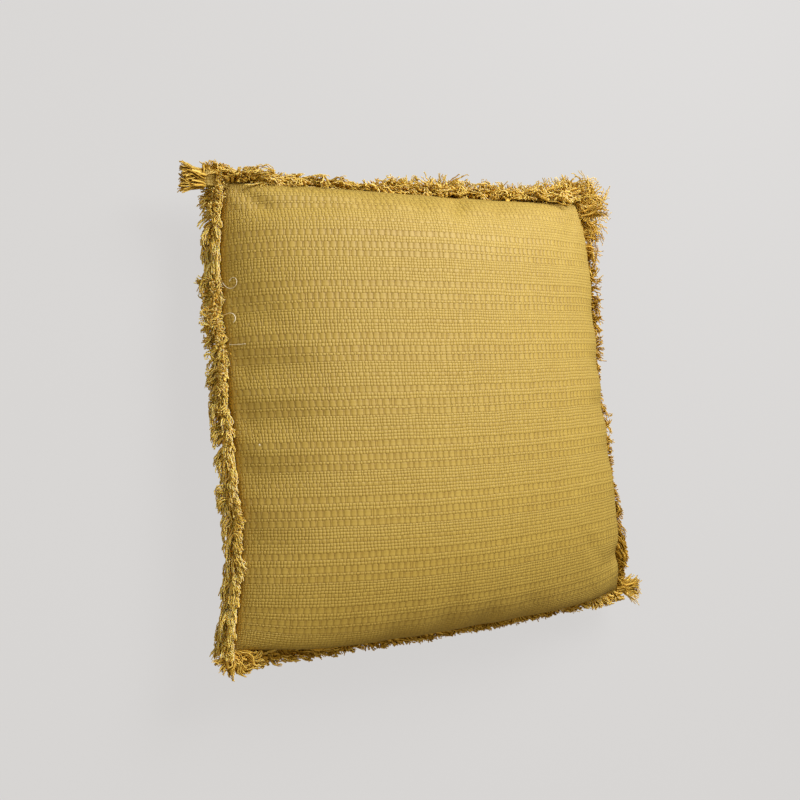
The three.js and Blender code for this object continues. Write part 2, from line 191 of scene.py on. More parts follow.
# Places where the fringe leaves its usual slope: at and span are shares of the side, front and back the
# radians by which each layer is turned, up and over the face or, below zero, down behind the seam.
Turn = namedtuple("Turn", "side at span front back")
TURNS = (
    Turn("top", 0.15, 0.03, 0.15, 0),
    Turn("top", 0.355, 0.03, 0.15, 0),
    Turn("left", 0.22, 0.13, 0.7, 0.2),
    Turn("left", 0.39, 0.05, 0.3, 0),
    Turn("left", 0.62, 0.05, 0.5, 0),
    Turn("left", 0.8, 0.05, 0.45, 0),
    Turn("right", 0.2, 0.08, 0.3, 0.1),
    Turn("right", 0.58, 0.12, -0.5, -0.4),
    Turn("right", 0.87, 0.07, 0.25, 0),
)

# The woven corner beyond the seam's top left corner, which hasn't frayed, and the brush of yarn at its end
TAB_LENGTH = 21
TAB_BELOW = 6
TAB_ABOVE = 9
TAB_BRUSH = 27
TAB_CLUMP = 12

# Tufts at the other corners, where the fringes of two sides run together. way is the angle of a tuft's middle
# to X and spread half its fan, rise its slope to the seam's plane and swing its turn, counterclockwise, all in
# radians.
Tuft = namedtuple("Tuft", "corner way spread length rise swing curl wisps")
TUFTS = (
    Tuft("top_right", 0.25, 0.4, 50, 0.1, 0, 0.7, 50),
    Tuft("top_right", 1.25, 0.5, 37, 0.1, 0, 0.8, 40),
    Tuft("bottom_right", -0.03, 0.04, 38, 0.1, 0, 0.18, 40),
    Tuft("bottom_left", -2.2, 0.55, 21, 0.25, 0.5, 0.3, 40),
    Tuft("bottom_left", -0.9, 0.35, 27, 0.35, 0.5, 0.35, 36),
)
TUFT_WIDTH = 8         # the roots of a tuft lie side by side over this width

# Loose threads on the face. Each starts at s and t of the face and runs over it, way being its angle to the
# rows and bend how far it turns to its end, in radians.
Thread = namedtuple("Thread", "name s t way length bend")
THREADS = (
    Thread("pale loop beside the left seam", -0.997, 0.56, -0.9, 36, 5.4),
    Thread("arc below it", -0.997, 0.41, 0.3, 22, -3),
    Thread("straight end", -0.99, 0.28, -0.1, 19, 0.1),
    Thread("lint", -0.932, -0.16, 0, 5, 9),
)
THREAD_RADIUS = 0.45

# Frayed yarn: each layer has locks, a lock has wisps, and a wisp a few strands that were spun together
YARN_PER_LOCK = 1000  # millimetres of strand in a lock, in more wisps where they are short
CORES_PER_LOCK = 7     # the yarn deep in a lock doesn't show strand by strand, and is drawn thicker
CORE_RADIUS = 1.7
CORE_LENGTH = 0.7
CORE_STEP = 3.2
STRANDS_PER_WISP = 4
STRAND_STEP = 2.6
STRAND_RADIUS = 0.6
# millimetres within which other strands darken a strand, as painted shade
YARN_SHADE_REACH = 4
WISP_RADIUS = 1.7
LAYER_THICKNESS = 4.5
WISP_STRAY = 0.11      # radians by which a wisp leaves its lock's way
LOCK_STRAY = 0.16      # radians by which a lock leaves its neighbours' way
OWN_WANDER = 3.0       # a wisp's own swings beside its lock's, in full curl
STRAND_SPLAY = 0.14    # radians by which a strand leaves its wisp at the tip
RAGGEDNESS = 0.1       # share of the fringe's reach by which its edge is uneven from strand to strand
STRAY_STRANDS = 0.03   # share of the strands that stick out of the fringe
SWING_START = 0.3      # a combed strand bows: it has this share of its turn at its root
SWING_END = 1.5        # and this at its tip
CRIMP_WAVE = 6.8       # the yarn keeps the crimp that it had in the weave
CRIMP_DEPTH = 0.6

# How the yarn of each part of the fringe takes the light: glow is the share of it that gets through the
# strands, deep how strongly painted shade darkens the yarn between others, tone is painted light over all of
# the part's yarn, or painted shade below zero, and fuzz is its loose fibres'.
Look = namedtuple("Look", "glow deep tone fuzz")
YARN_LOOKS = {
    "left": Look(1, 0.5, 0.45, 0.8),
    "top": Look(0.5, 1.1, -0.07, 0.2),
    "right": Look(0.1, 1.2, -0.3, 0),
    "bottom": Look(0.4, 1, -0.08, 0.2),
    "corners": Look(0.3, 1, -0.08, 0.2),
}

# Camera and light, around the middle of the seam
CAMERA_PLACE = (-500.4, -58.6, 790.2)
CAMERA_WAY = (0.5022, 0.0697, -0.8619)
CAMERA_UP = (0.0269, 0.995, 0.0961)
LENS = 40.5
SENSOR = 36


def unevenness(number):
    value = np.sin(number * 12.9898 + 4.1414) * 43758.5453
    return 2 * (value - np.floor(value)) - 1


def unit(vectors):
    return vectors / np.linalg.norm(vectors, axis=-1, keepdims=True)


def seam_point(side_name, along):
    """Points of one side's seam, along being an array of shares of the side."""
    side = SIDES[side_name]
    start = CORNERS[side.start]
    end = CORNERS[side.end]
    across = 2 * along - 1
    bow = 1 - across ** 2
    turn = -2.6 * across * bow
    out = unit(np.cross(UP, end - start))
    level = start + along[..., None] * (end - start)
    level = level + (side.sway * turn - side.drawn_in * bow)[..., None] * out
    return level + (side.lift * bow - side.roll * turn)[..., None] * UP


def seam_plane_point(s, t):
    """Soft blend of the four seams. s runs from -1 at the left to 1 at the right, t from bottom to top."""
    right = (s + 1) / 2
    high = (t + 1) / 2
    r = right[..., None]
    h = high[..., None]
    point = seam_point("left", high) * (1 - r) + seam_point("right", 1 - high) * r
    point = point + seam_point("bottom", 1 - right) * (1 - h) + seam_point("top", right) * h
    point = point - CORNERS["bottom_left"] * (1 - r) * (1 - h) - CORNERS["bottom_right"] * r * (1 - h)
    return point - CORNERS["top_left"] * (1 - r) * h - CORNERS["top_right"] * r * h


def crown(s, t, panel):
    across = np.maximum(0, 1 - s * s) ** np.where(s < 0, panel.left, panel.right)
    upward = np.maximum(0, 1 - t * t) ** np.where(t < 0, panel.bottom, panel.top)
    return panel.height * across * upward * (1 + panel.to_top * t + panel.to_ends * t * t)


def overhang(from_seam, along_seam, reach):
    """How far a panel bulges out over its seam, just inside it."""
    share = from_seam / BELLY_REACH
    return reach * share * np.exp(1 - share) * (1 - along_seam ** 8) ** 2


def crease_depth(x, y):
    depth = np.zeros_like(x)
    for crease in CREASES:
        angle = math.radians(crease.turn)
        along = ((x - crease.x) * math.cos(angle) + (y - crease.y) * math.sin(angle)) / crease.length
        across = ((y - crease.y) * math.cos(angle) - (x - crease.x) * math.sin(angle)) / crease.width
        depth += crease.depth * np.exp(-along ** 2 - across ** 2)
    return depth


def ripple(place):
    return np.sin(2 * np.pi * place / GATHER_WAVE + 1.7 * np.sin(place / 53))


def gather_depth(s, t, x, y):
    near_side = np.exp(-(((1 - np.abs(s)) / GATHER_REACH) ** 2)) * (1 - t * t)
    near_end = np.exp(-(((1 - np.abs(t)) / GATHER_REACH) ** 2)) * (1 - s * s)
    fade = np.minimum(1, (1 - s * s) * (1 - t * t) * 12)
    return GATHER_DEPTH * fade * (near_side * ripple(y) + near_end * ripple(x + 20))


def face_point(s, t, fullness=1.0):
    point = seam_plane_point(s, t)
    x, y = point[..., 0], point[..., 1]
    swelling = fullness * crown(s, t, FACE_SWELL)
    folds = crease_depth(x, y) * np.minimum(1, swelling / 12)
    rise = SEAM_EDGE / 2 + swelling - folds + gather_depth(s, t, x, y)
    return point + np.stack([overhang(1 - s, t, FACE_SWELL.flank), -overhang(1 + t, s, FACE_SWELL.belly), rise], -1)


def back_point(s, t, fullness=1.0):
    """The back panel, pressed flat where it rests."""
    point = seam_plane_point(s, t)
    x, y = point[..., 0], point[..., 1]
    fall = SEAM_EDGE / 2 + fullness * crown(s, t, BACK_SWELL) + gather_depth(t, s, y + 30, x)
    point = point + np.stack([0 * fall, -overhang(1 + t, s, BACK_SWELL.belly), -fall], -1)
    point[..., 2] = np.maximum(point[..., 2], -REST_DEPTH)
    return point


# The middle of the seam, in metres in the frame: the cushion's own box says where it lies.
def find_seam_middle():
    even = np.linspace(-1, 1, 401)
    s, t = np.meshgrid(even, even)
    points = np.concatenate([face_point(s, t).reshape(-1, 3), back_point(s, t).reshape(-1, 3)])
    low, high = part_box("cushion")
    middle = (low + high) / 2 - Vector((points.min(0) + points.max(0)) / 2) * MM
    middle.z = REST_DEPTH * MM
    return middle


SEAM_MIDDLE = find_seam_middle()


def to_frame(points):
    return points * MM + np.array(SEAM_MIDDLE)


# Sizes of the weave


def weave_lines(panel_height):
    """Mesh lines of the rows: how far down from the top seam each lies, its place in rows, its row's kind."""
    down, rows, kinds = [], [], []
    edge = FIRST_REPEAT
    number = 0
    while edge < panel_height:
        row = REPEAT[number % len(REPEAT)]
        lines = RELIEFS[row.kind].lines
        for line in range(lines):
            down.append(edge + row.height * line / lines)
            rows.append(number + line / lines)
            kinds.append(row.kind)
        edge += row.height
        number += 1
    down, rows = np.array(down), np.array(rows)
    inside = (down > 1.3) & (down < panel_height - 1.3)
    first = np.interp(0, down, rows)
    last = np.interp(panel_height, down, rows)
    down = np.concatenate([[0], down[inside], [panel_height]])
    rows = np.concatenate([[first], rows[inside], [last]])
    kinds = [kinds[0]] + [k for k, kept in zip(kinds, inside) if kept] + [kinds[-1]]
    return down, rows, kinds


def run_table(points):
    return np.concatenate([[0], np.cumsum(np.linalg.norm(np.diff(points, axis=0), axis=1))])


def smooth_noise(rng, shape, coarse):
    """Random numbers between -1 and 1 on a coarse grid, drawn out smoothly to the given shape."""
    rough = rng.uniform(-1, 1, coarse)
    across = np.linspace(0, coarse[1] - 1, shape[1])
    drawn = np.stack([np.interp(across, np.arange(coarse[1]), line) for line in rough])
    down = np.linspace(0, coarse[0] - 1, shape[0])
    return np.stack([np.interp(down, np.arange(coarse[0]), column) for column in drawn.T], 1)


def add(tree, kind, inputs=None, **settings):
    """Adds a node, sets it, and sets or links its inputs."""
    node = tree.nodes.new(kind)
    for name, value in settings.items():
        setattr(node, name, value)
    for socket, value in (inputs or {}).items():
        if isinstance(value, bpy.types.NodeSocket):
            tree.links.new(value, node.inputs[socket])
        else:
            node.inputs[socket].default_value = value
    return node


def linear(code):
    """An sRGB hex colour as linear RGBA."""
    values = [int(code[i:i + 2], 16) / 255 for i in (1, 3, 5)]
    return [v / 12.92 if v <= 0.04045 else ((v + 0.055) / 1.055) ** 2.4 for v in values] + [1]


def ramp(tree, value, stops, interpolation="LINEAR"):
    """A colour ramp with stops of a place and a hex colour."""
    node = add(tree, "ShaderNodeValToRGB", {0: value})
    elements = node.color_ramp.elements
    node.color_ramp.interpolation = interpolation
    elements.remove(elements[-1])
    for number, (place, code) in enumerate(stops):
        stop = elements[0] if number == 0 else elements.new(place)
        stop.position = place
        stop.color = linear(code)
    return node.outputs[0]


def math_node(tree, operation, *values):
    """A maths node of the given values or sockets."""
    return add(tree, "ShaderNodeMath", dict(enumerate(values)), operation=operation).outputs[0]


def weave_material(name, cells, rows):
    """Ribbed slub cotton, plain woven of soft yarn, some of it thick: matt, warm, with painted shade between the
    floats.
    """
    material = bpy.data.materials.new(name)
    material.use_nodes = True
    tree = material.node_tree
    tree.nodes.clear()
    uv = add(tree, "ShaderNodeUVMap", uv_map="weave")
    place = add(tree, "ShaderNodeSeparateXYZ", {0: uv.outputs[0]})
    column = math_node(tree, "MULTIPLY", place.outputs[0], cells)
    row = math_node(tree, "MULTIPLY", place.outputs[1], rows)
    row_number = math_node(tree, "FLOOR", row)
    odd = math_node(tree, "MODULO", row_number, 2)

    # The warp wanders sideways from row to row, so that the floats are of uneven width
    in_row = add(tree, "ShaderNodeCombineXYZ", {0: column, 1: row_number})
    warp_place = add(tree, "ShaderNodeVectorMath", {0: in_row.outputs[0], 1: (0.8, 5.3, 0)}, operation="MULTIPLY")
    drift = add(tree, "ShaderNodeTexNoise", {0: warp_place.outputs[0], "Scale": 1.0, "Detail": 1.0},
                noise_dimensions="2D")
    cell = math_node(tree, "MULTIPLY_ADD", odd, 0.5, column)
    cell = math_node(tree, "MULTIPLY_ADD", drift.outputs[0], FLOAT_DRIFT, cell)
    cell_number = math_node(tree, "FLOOR", cell)

    # How far a point lies from the middle of its float, 0 to 1 across it and along it
    off_across, off_along = [
        math_node(tree, "MULTIPLY", 2, math_node(
            tree, "ABSOLUTE", math_node(tree, "SUBTRACT", math_node(tree, "FRACT", value), 0.5)))
        for value in (cell, row)]

    # 1 in the rows of thick yarn, less in the others
    tallness = {"tall": "#ffffff", "medium": "#cccccc", "plain": "#000000"}
    in_repeat = math_node(tree, "MODULO", math_node(tree, "ADD", row_number, 0.5), len(REPEAT))
    thickness = ramp(tree, math_node(tree, "DIVIDE", in_repeat, len(REPEAT)), [
        (number / len(REPEAT), tallness[woven.kind]) for number, woven in enumerate(REPEAT)], "CONSTANT")

    # Each float's own shade, streaks along the slub yarn, and the dyed cloth's slow changes
    marker = add(tree, "ShaderNodeCombineXYZ", {0: cell_number, 1: row_number})
    own = add(tree, "ShaderNodeTexWhiteNoise", {0: marker.outputs[0]}, noise_dimensions="2D")
    streak_place = add(tree, "ShaderNodeVectorMath", {0: in_row.outputs[0], 1: (0.35, 7.3, 0)},
                       operation="MULTIPLY")
    streak = add(tree, "ShaderNodeTexNoise", {0: streak_place.outputs[0], "Scale": 1.0, "Detail": 2.0},
                 noise_dimensions="2D")
    spot = add(tree, "ShaderNodeTexCoord")
    dye = add(tree, "ShaderNodeTexNoise", {0: spot.outputs["Object"], "Scale": 14.0, "Detail": 3.0})
    fluff = add(tree, "ShaderNodeTexNoise", {0: spot.outputs["Object"], "Scale": 900.0, "Detail": 2.0})

    # A float of the weft covers most of its cell in a thick row, in a thin one the warp shows as much beside it.
    # off is 0 in the middle of a float of either yarn and 1 at its side.
    share = add(tree, "ShaderNodeMapRange", {0: thickness, 3: 0.52, 4: 0.86}).outputs[0]
    share = math_node(tree, "MULTIPLY_ADD", math_node(tree, "SUBTRACT", own.outputs[0], 0.5), 0.14, share)
    weft_off = math_node(tree, "DIVIDE", off_across, share)
    warp_off = math_node(tree, "DIVIDE", math_node(tree, "SUBTRACT", 1, off_across), math_node(
        tree, "SUBTRACT", 1, share))
    off = math_node(tree, "MINIMUM", weft_off, warp_off)
    warp = math_node(tree, "GREATER_THAN", off_across, share)
    # Painted shade: the slits between floats, the lines between rows and the places where both meet are drawn darker
    slit = add(tree, "ShaderNodeMapRange", {0: off, 1: 0.6, 2: 1.0}, interpolation_type="SMOOTHSTEP").outputs[0]
    line = add(tree, "ShaderNodeMapRange", {0: off_along, 1: 0.5, 2: 1.0},
               interpolation_type="SMOOTHSTEP").outputs[0]
    slit_painted_shade = add(tree, "ShaderNodeMapRange", {0: thickness, 3: -PLAIN_SLIT_PAINTED_SHADE, 4: -SLIT_PAINTED_SHADE}).outputs[0]
    tone = add(tree, "ShaderNodeMapRange", {0: thickness, 3: 0.785, 4: 0.74}).outputs[0]
    tone = math_node(tree, "MULTIPLY_ADD", slit, slit_painted_shade, tone)
    tone = math_node(tree, "MULTIPLY_ADD", line, -LINE_PAINTED_SHADE, tone)
    tone = math_node(tree, "MULTIPLY_ADD", math_node(tree, "MULTIPLY", slit, line), -CORNER_PAINTED_SHADE, tone)
    tone = math_node(tree, "MULTIPLY_ADD", warp, -WARP_SHADE, tone)
    for source, weight in ((own.outputs[0], 0.06), (streak.outputs[0], 0.08), (dye.outputs[0], 0.12),
                           (fluff.outputs[0], 0.14)):
        tone = math_node(tree, "MULTIPLY_ADD", math_node(tree, "SUBTRACT", source, 0.5), weight, tone)
    colour = ramp(tree, tone, ((0.0, "#5a3a04"), (0.35, "#906e24"), (0.75, "#b0943c"), (1.0, "#c1a54a")))

    # The floats are rounded, and the warp lies lower beside a thick weft
    pillow = math_node(tree, "MULTIPLY_ADD", math_node(tree, "POWER", off_along, 2.2), 0.7, math_node(
        tree, "POWER", off, 2.2))
    pillow = math_node(tree, "MULTIPLY_ADD", math_node(tree, "MULTIPLY", warp, thickness), 0.4, pillow)
    height = math_node(tree, "MULTIPLY_ADD", fluff.outputs[0], 0.12, math_node(tree, "SUBTRACT", 1, pillow))
    bump = add(tree, "ShaderNodeBump", {"Strength": 1.0, "Distance": WEAVE_BUMP * MM, "Height": height})
    shader = add(tree, "ShaderNodeBsdfPrincipled", {
        "Base Color": colour, "Normal": bump.outputs[0], "Roughness": 0.6, "Specular IOR Level": 0.4})
    add(tree, "ShaderNodeOutputMaterial", {0: shader.outputs[0]})
    return material


def yarn_material(name, look):
    """Frayed cotton yarn, carded and loosely twisted: matt, uneven in tone, painted deep brown shade between
    strands.
    """
    material = bpy.data.materials.new(name)
    material.use_nodes = True
    tree = material.node_tree
    tree.nodes.clear()
    spot = add(tree, "ShaderNodeTexCoord")
    strand = add(tree, "ShaderNodeNewGeometry")
    shade = add(tree, "ShaderNodeTexNoise", {0: spot.outputs["Object"], "Scale": 300.0, "Detail": 2.0})
    painted_shade_occlusion = add(tree, "ShaderNodeAmbientOcclusion", {"Distance": YARN_SHADE_REACH * MM}, samples=6,
                   only_local=True)
    # Painted light and shade: the part's tone lightens or darkens all of its yarn
    tone = math_node(tree, "MULTIPLY_ADD", strand.outputs["Random Per Island"], 0.24, look.tone - 0.12)
    tone = math_node(tree, "MULTIPLY_ADD", math_node(tree, "SUBTRACT", shade.outputs[0], 0.5), 0.3, tone)
    # Painted shade: the yarn is drawn darker and browner where other strands lie near it, as much as deep says
    tone = math_node(tree, "MULTIPLY_ADD", painted_shade_occlusion.outputs["AO"], look.deep, tone)
    colour = ramp(tree, tone, ((0.0, "#7a4a00"), (0.25, "#a87814"), (0.5, "#c99c30"), (0.85, "#dfb84e"), (1.0, "#f2cf68")))
    shader = add(tree, "ShaderNodeBsdfPrincipled", {
        "Base Color": colour, "Roughness": 0.8, "Specular IOR Level": 0.15, "Subsurface Weight": look.glow,
        "Subsurface Radius": (1.0, 1.0, 1.0), "Subsurface Scale": 1.5 * MM,
        "Sheen Weight": look.fuzz, "Sheen Tint": linear("#ffdc80")})
    add(tree, "ShaderNodeOutputMaterial", {0: shader.outputs[0]})
    return material


def surface_normals(grid):
    down = np.gradient(grid, axis=0)
    across = np.gradient(grid, axis=1)
    return unit(np.cross(down, across) + 1e-9)


def make_panels(name, columns, lines):
    """A closed flat cover of two grids. Also gives each vertex's column, its line from the top and its panel."""
    bm = bmesh.new()
    for sign in (1, -1):
        made = bmesh.ops.create_grid(bm, x_segments=columns, y_segments=lines, size=1,
                                     matrix=Matrix.Translation((0, 0, sign)))
        if sign < 0:
            faces = {face for vertex in made["verts"] for face in vertex.link_faces}
            bmesh.ops.reverse_faces(bm, faces=list(faces))
    bmesh.ops.bridge_loops(bm, edges=[edge for edge in bm.edges if edge.is_boundary])
    mesh = bpy.data.meshes.new(name)
    bm.to_mesh(mesh)
    bm.free()
    flat = points_of(mesh)
    column_of = np.rint((flat[:, 0] + 1) / 2 * columns).astype(int)
    line_of = lines - np.rint((flat[:, 1] + 1) / 2 * lines).astype(int)
    return mesh, column_of, line_of, flat[:, 2] > 0


def points_of(mesh):
    flat = np.zeros(len(mesh.vertices) * 3)
    mesh.vertices.foreach_get("co", flat)
    return flat.reshape(-1, 3)


def fill_cover():
    """Blows up a coarse shell of the cover. Gives how far each point of the face and of the back moves, in
    millimetres, on even grids of s and t."""
    even = np.linspace(-1, 1, FILL_CELLS + 1)
    s, t = np.meshgrid(even, even)
    mesh, column_of, line_of, on_face = make_panels("filling_shell", FILL_CELLS, FILL_CELLS)
    up_of = FILL_CELLS - line_of
    face, back = [point(s, t, FILL_START)[up_of, column_of] for point in (face_point, back_point)]
    start = np.where(on_face[:, None], face, back)
    mesh.vertices.foreach_set("co", to_frame(start).ravel())
    shell = bpy.data.objects.new("filling_shell", mesh)
    bpy.context.scene.collection.objects.link(shell)
    at_seam = (column_of % FILL_CELLS == 0) | (line_of % FILL_CELLS == 0)
    resting = start[:, 2] < 0.5 - REST_DEPTH
    held = shell.vertex_groups.new(name="held")
    held.add(np.flatnonzero(at_seam | resting).tolist(), 1.0, "REPLACE")
    cloth = shell.modifiers.new("filling", "CLOTH")
    cloth.settings.vertex_group_mass = held.name
    cloth.settings.use_pressure = True
    cloth.settings.uniform_pressure_force = FILL_PRESSURE
    cloth.settings.shrink_min = -FILL_EASE
    cloth.settings.effector_weights.gravity = 0
    cloth.point_cache.frame_end = FILL_FRAMES
    scene = bpy.context.scene
    for number in range(1, FILL_FRAMES + 1):
        scene.frame_set(number)
    filled = shell.evaluated_get(bpy.context.evaluated_depsgraph_get()).to_mesh()
    move = (points_of(filled) - to_frame(start)) / MM
    scene.frame_set(1)
    bpy.data.objects.remove(shell)
    move = move / (1 + np.linalg.norm(move, axis=1, keepdims=True) / FILL_CAP)
    move = move * (1 - np.abs(s * t)[up_of, column_of, None])
    moves = {}
    for sign, panel in ((1, on_face), (-1, ~on_face)):
        moves[sign] = np.zeros(s.shape + (3,))
        moves[sign][up_of[panel], column_of[panel]] = move[panel]
    return moves


def between(grid, s, t):
    """Values between the points of an even grid of s and t, on a smooth surface."""
    def weight(away):
        away = np.abs(away)
        return np.where(away < 1, 2 / 3 - away ** 2 + away ** 3 / 2, np.maximum(0, 2 - away) ** 3 / 6)

    last = len(grid) - 1
    column, line = (s + 1) / 2 * last, (t + 1) / 2 * last
    total = np.zeros(s.shape + (3,))
    for i in range(-1, 3):
        for j in range(-1, 3):
            near_column, near_line = np.floor(column).astype(int) + i, np.floor(line).astype(int) + j
            share = weight(column - near_column) * weight(line - near_line)
            total += share[..., None] * grid[np.clip(near_line, 0, last), np.clip(near_column, 0, last)]
    return total


def make_cushion():
    """The filled cover, its rows and floats raised from the cloth."""
    rng = np.random.default_rng(7)
    fine = np.linspace(-1, 1, 4001)
    t_run = run_table(face_point(np.full_like(fine, -0.2), fine))
    s_run = run_table(face_point(fine, np.zeros_like(fine)))
    panel_height = t_run[-1]
    down, rows, kinds = weave_lines(panel_height)
    lines = len(down) - 1
    columns = 2 * CELLS

    # Places of the mesh lines, drifting as handled cloth does, but not at the seam
    cell_place = np.linspace(0, 1, columns + 1)
    inside_columns = np.sin(np.pi * cell_place) ** 0.3
    inside_lines = np.sin(np.pi * np.linspace(0, 1, lines + 1)) ** 0.3
    fade = inside_lines[:, None] * inside_columns[None, :]
    shape = (lines + 1, columns + 1)
    drift = 0.5 * rng.uniform(-1, 1, columns + 1)[None, :] + smooth_noise(rng, shape, (14, columns + 1))
    s_place = cell_place[None, :] + fade * drift * CELL_DRIFT / CELLS
    t_place = down[:, None] + fade * ROW_DRIFT * smooth_noise(rng, shape, (40, 30))
    s = np.interp(s_place * s_run[-1], s_run, fine)
    t = np.interp(panel_height - t_place, t_run, fine)

    # Rise of the floats: full at a float's middle, less where the warp crosses over it, none between rows
    rise = np.zeros(shape)
    row_numbers = np.floor(rows + 1e-6).astype(int)
    for line in range(lines + 1):
        relief = RELIEFS[kinds[line]]
        if rows[line] - row_numbers[line] < 0.01:
            rise[line] = -0.15
            continue
        in_gap = (np.arange(columns + 1) + row_numbers[line]) % 2 == 0
        rise[line] = relief.rise * np.where(in_gap, relief.gap, 1)
    rise *= 1 + 0.15 * rng.uniform(-1, 1, shape)
    edge = np.minimum(1, (1 - np.abs(s)) / SEAM_FADE) * np.minimum(1, (1 - np.abs(t)) / SEAM_FADE)
    rise *= np.clip(edge, 0, 1)

    grids = {}
    filling = fill_cover()
    fullness = FILL_START
    for sign, panel_point in ((1, face_point), (-1, back_point)):
        grid = panel_point(s, t, fullness) + np.clip(edge, 0, 1)[..., None] * between(filling[sign], s, t)
        grid = grid + (sign * rise)[..., None] * -surface_normals(grid)
        grid[..., 2] = np.maximum(grid[..., 2], -REST_DEPTH)
        grids[sign] = to_frame(grid)

    mesh, column_of, line_of, on_face = make_panels("filled_cushion", columns, lines)
    placed = np.where(on_face[:, None], grids[1][line_of, column_of], grids[-1][line_of, column_of])
    mesh.vertices.foreach_set("co", placed.ravel())

    # The weave's own map: cells across, the back panel beside the face, and rows down
    corner = np.zeros(len(mesh.loops), int)
    mesh.loops.foreach_get("vertex_index", corner)
    owner = np.repeat(np.arange(len(mesh.polygons)), [p.loop_total for p in mesh.polygons])
    face_count = np.bincount(owner, on_face[corner], minlength=len(mesh.polygons))
    whole_back = face_count[owner] == 0
    uv = np.stack([(column_of[corner] / columns + whole_back) / 2, rows[line_of[corner]] / MAP_ROWS], 1)
    layer = mesh.uv_layers.new(name="weave")
    layer.data.foreach_set("uv", uv.ravel())
    mesh.polygons.foreach_set("use_smooth", np.ones(len(mesh.polygons), bool))
    mesh.update()
    cushion = bpy.data.objects.new("filled_cushion", mesh)
    bpy.context.scene.collection.objects.link(cushion)
    mesh.materials.append(weave_material("ribbed_slub_cotton", 2 * CELLS, MAP_ROWS))
    return cushion


def seam_run(side_name, along):
    step = 1e-3
    run = seam_point(side_name, np.minimum(1, along + step)) - seam_point(side_name, np.maximum(0, along - step))
    run[..., 2] = 0
    return unit(run)


def fringe_slope(side_name, along, layer):
    """The way the fringe points, for the front layer (1), the back layer (-1) or the middle of both (0)."""
    slope = SLOPES[side_name] + layer * LAYER_SPREAD
    front_share = (1 + layer) / 2
    for turn in TURNS:
        if turn.side == side_name:
            turned = turn.front * front_share + turn.back * (1 - front_share)
            slope = slope + turned * np.exp(-(((along - turn.at) / turn.span) ** 2))
    return slope


def strip_point(side_name, along, width, up):
    """A point of the unfrayed strip outside the seam, width outward from it and up above its middle."""
    slope = fringe_slope(side_name, along, 0)
    out = np.cross(UP, seam_run(side_name, along))
    across = GAP + width * np.cos(slope) - up * np.sin(slope)
    rise = width * np.sin(slope) + up * np.cos(slope)
    return seam_point(side_name, along) + across[..., None] * out + rise[..., None] * UP


def tab_point(out, up):
    """A point of the unfrayed corner, out to the left of the seam's corner and up above it."""
    sag = 2.5 * np.sin(out / TAB_LENGTH * 2.2) + 0.16 * up
    return CORNERS["top_left"] + np.stack([-out, up, 3 + sag], -1)


def reach_share(swing):
    """How far out a bowed strand reaches for its length, when it turns by swing on the way."""
    turn = np.where(np.abs(swing) < 1e-3, 1e-3, swing)
    return (np.sin(SWING_END * turn) - np.sin(SWING_START * turn)) / ((SWING_END - SWING_START) * turn)


# Wisps of yarn before they are grown: their roots, the ways out and along there, their length, how far out
# they may reach, their turn along the side, their slope, how far they roll over to the face, their curl and
# the lock that each belongs to
Wisps = namedtuple("Wisps", "root out level length reach swing slope roll curl lock")


def side_wisps(rng, side_name, layer):
    """The wisps of one layer of one side's fringe."""
    layer_name = "front" if layer > 0 else "back"
    places, reaches, swings, curls, rolls = [
        [getattr(lay, field) for lay in LAYS[side_name]]
        for field in ("at", f"{layer_name}_reach", f"{layer_name}_swing", "curl", "roll")]
    locks = LOCKS_PER_LAYER if layer > 0 else LOCKS_PER_LAYER - 1
    lock_along = (np.arange(locks) + (0.5 if layer > 0 else 1)) / LOCKS_PER_LAYER
    lock_length = np.interp(lock_along, places, reaches) / reach_share(np.interp(lock_along, places, swings))
    wisps_in_lock = np.rint(YARN_PER_LOCK / STRANDS_PER_WISP / lock_length).astype(int)
    lock = np.repeat(np.arange(locks), wisps_in_lock)
    count = len(lock)
    lock_swing, lock_rise = rng.normal(0, LOCK_STRAY, (2, locks))
    along = np.clip(lock_along[lock] + rng.uniform(-0.7, 0.7, count) / LOCKS_PER_LAYER, 0.003, 0.997)
    swing = np.interp(along, places, swings)
    reach = np.interp(along, places, reaches)
    level = seam_run(side_name, along)
    height = layer * 0.8 + rng.uniform(-0.5, 0.5, count)
    return Wisps(
        root=strip_point(side_name, along, np.full(count, STRIP_WIDTH - 0.8), height),
        out=np.cross(UP, level),
        level=level,
        length=reach / reach_share(swing) * rng.uniform(0.85, 1.1, count),
        reach=reach,
        swing=swing + lock_swing[lock],
        slope=fringe_slope(side_name, along, layer) + lock_rise[lock],
        roll=np.interp(along, places, rolls) * (layer > 0) * rng.uniform(0.6, 1.25, count),
        curl=np.interp(along, places, curls),
        lock=lock)


def tab_wisps(rng, edge, count):
    """The wisps at the end of the unfrayed corner, or along its top."""
    place = rng.uniform(0, 1, count)
    if edge == "end":
        root = tab_point(np.full(count, TAB_LENGTH - 0.8), place * (TAB_BELOW + TAB_ABOVE) - TAB_BELOW)
        out, level = (-1.0, 0, 0), (0, 1.0, 0)
        swing = 0.1 * place - 0.07
    else:
        root = tab_point(place * TAB_LENGTH, np.full(count, TAB_ABOVE - 0.8))
        out, level = (0, 1.0, 0), (1.0, 0, 0)
        swing = rng.normal(-0.2, 0.4, count)
    return Wisps(
        root=root + rng.uniform(-1.3, 1.3, (count, 1)) * UP,
        out=np.tile(out, (count, 1)),
        level=np.tile(level, (count, 1)),
        length=(TAB_BRUSH if edge == "end" else TAB_CLUMP) * rng.uniform(0.8, 1.05, count),
        reach=np.full(count, TAB_BRUSH if edge == "end" else TAB_CLUMP),
        swing=swing,
        slope=rng.normal(0.05, 0.1, count),
        roll=np.zeros(count),
        curl=np.full(count, 0.15 if edge == "end" else 0.5),
        lock=np.arange(count))


